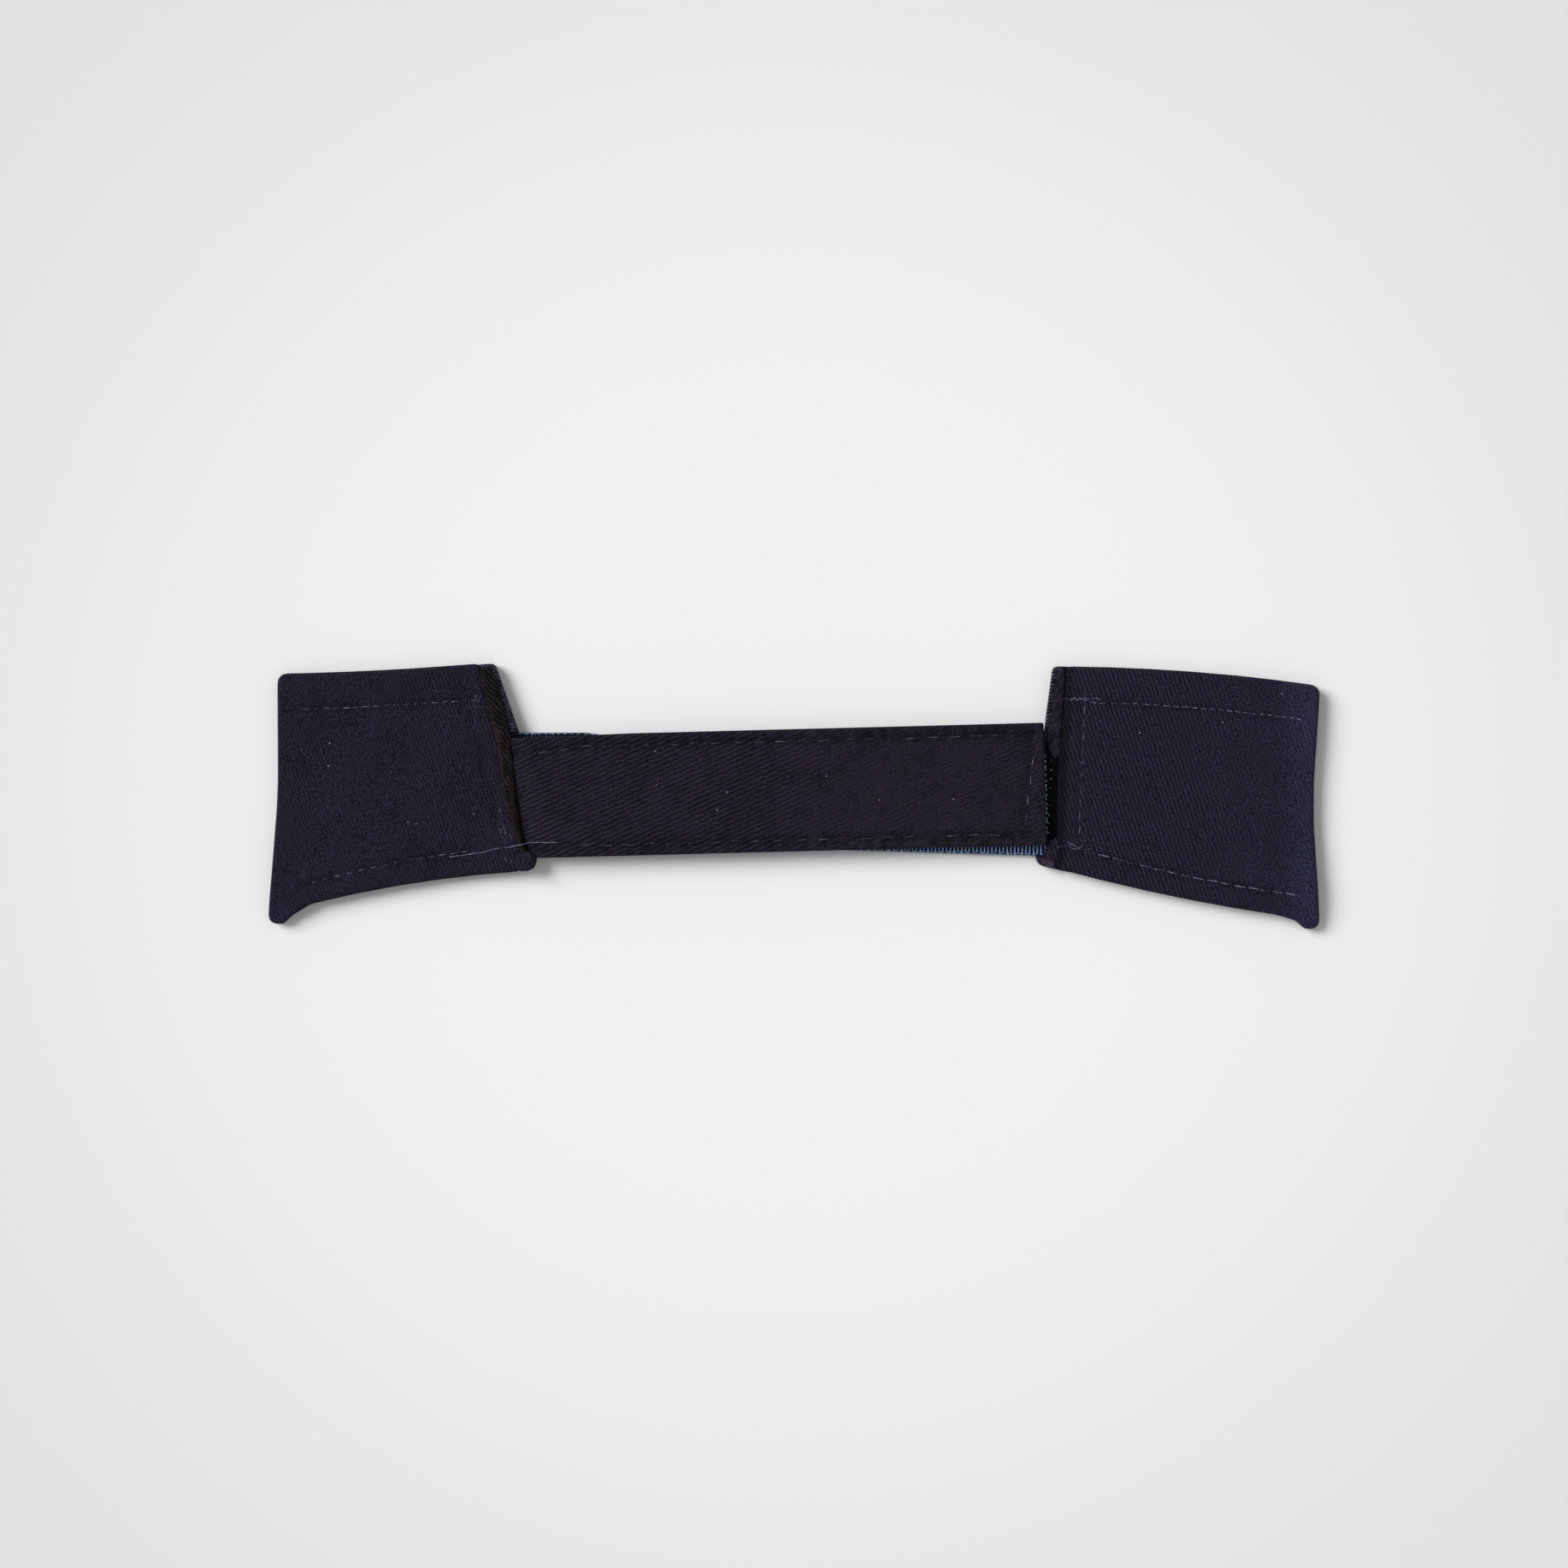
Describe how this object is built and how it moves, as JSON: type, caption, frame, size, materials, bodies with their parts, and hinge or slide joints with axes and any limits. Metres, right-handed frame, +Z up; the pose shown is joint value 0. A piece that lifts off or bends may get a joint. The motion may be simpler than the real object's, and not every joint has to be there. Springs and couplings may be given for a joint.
{
  "type": "fabric eyeshade closing band",
  "caption": "Flat navy twill closing band: two flared padded wings joined by a hook-and-loop strap that adjusts its length.",
  "frame": {"origin": "on the surface that the band lies on, under the middle of its bounding box", "axes": "+X along the band to the right wing, +Y across it, +Z up out of the face of the cloth"},
  "size_m": [0.1894, 0.0478, 0.0041],
  "materials": {
    "twill": "navy cotton twill, matt, with turned and topstitched edges",
    "lining": "navy twill back and strap backing, matt",
    "webbing": "blue ribbed polyester webbing with a fine selvedge",
    "hook_tape": "nylon hook tape on a woven base",
    "loop_tape": "brushed nylon loop pile on a woven base",
    "thread": "navy polyester sewing thread",
    "stiffener": "off-white nonwoven interlining"
  },
  "bodies": {
    "left_seam": {"left_front_hem": "twill", "left_back_strip": "lining", "over_cover_tail": "twill", "over_backing_tail": "lining", "left_seam_stitch": "thread"},
    "left_wing": {"left_front_panel": "twill", "left_interlining": "stiffener", "left_back_panel": "lining", "left_top_stitch": "thread", "left_bottom_stitch": "thread"},
    "over_strap": {"over_cover": "twill", "over_backing": "lining", "loop_tape": "loop_tape", "over_top_stitch": "thread", "over_bottom_stitch": "thread", "over_end_stitch": "thread"},
    "under_strap": {"under_webbing": "webbing", "hook_tape": "hook_tape", "hook_top_stitch": "thread", "hook_bottom_stitch": "thread", "hook_end_stitch": "thread", "right_front_hem": "twill", "right_back_strip": "lining", "right_seam_stitch": "thread"},
    "right_wing": {"right_front_panel": "twill", "right_interlining": "stiffener", "right_back_panel": "lining", "right_top_stitch": "thread", "right_bottom_stitch": "thread"}
  },
  "joints": [
    {"name": "left_wing_fold", "type": "hinge", "parent": "left_seam", "child": "left_wing", "pos_m": [-0.05851, 0.00393, 0.0027], "axis": [-0.2117, 0.9773, 0], "range_deg": [0, 90]},
    {"name": "over_strap_peel", "type": "hinge", "parent": "left_seam", "child": "over_strap", "pos_m": [-0.04679, 0.00647, 0.0039], "axis": [0.2117, -0.9773, 0], "range_deg": [0, 100]},
    {"name": "size_adjust", "type": "slide", "parent": "left_seam", "child": "under_strap", "axis": [1, 0, 0], "range_m": [0, 0.055]},
    {"name": "right_wing_fold", "type": "hinge", "parent": "under_strap", "child": "right_wing", "pos_m": [0.05414, 0.00492, 0.0027], "axis": [-0.0467, -0.9989, 0], "range_deg": [0, 90]}
  ]
}
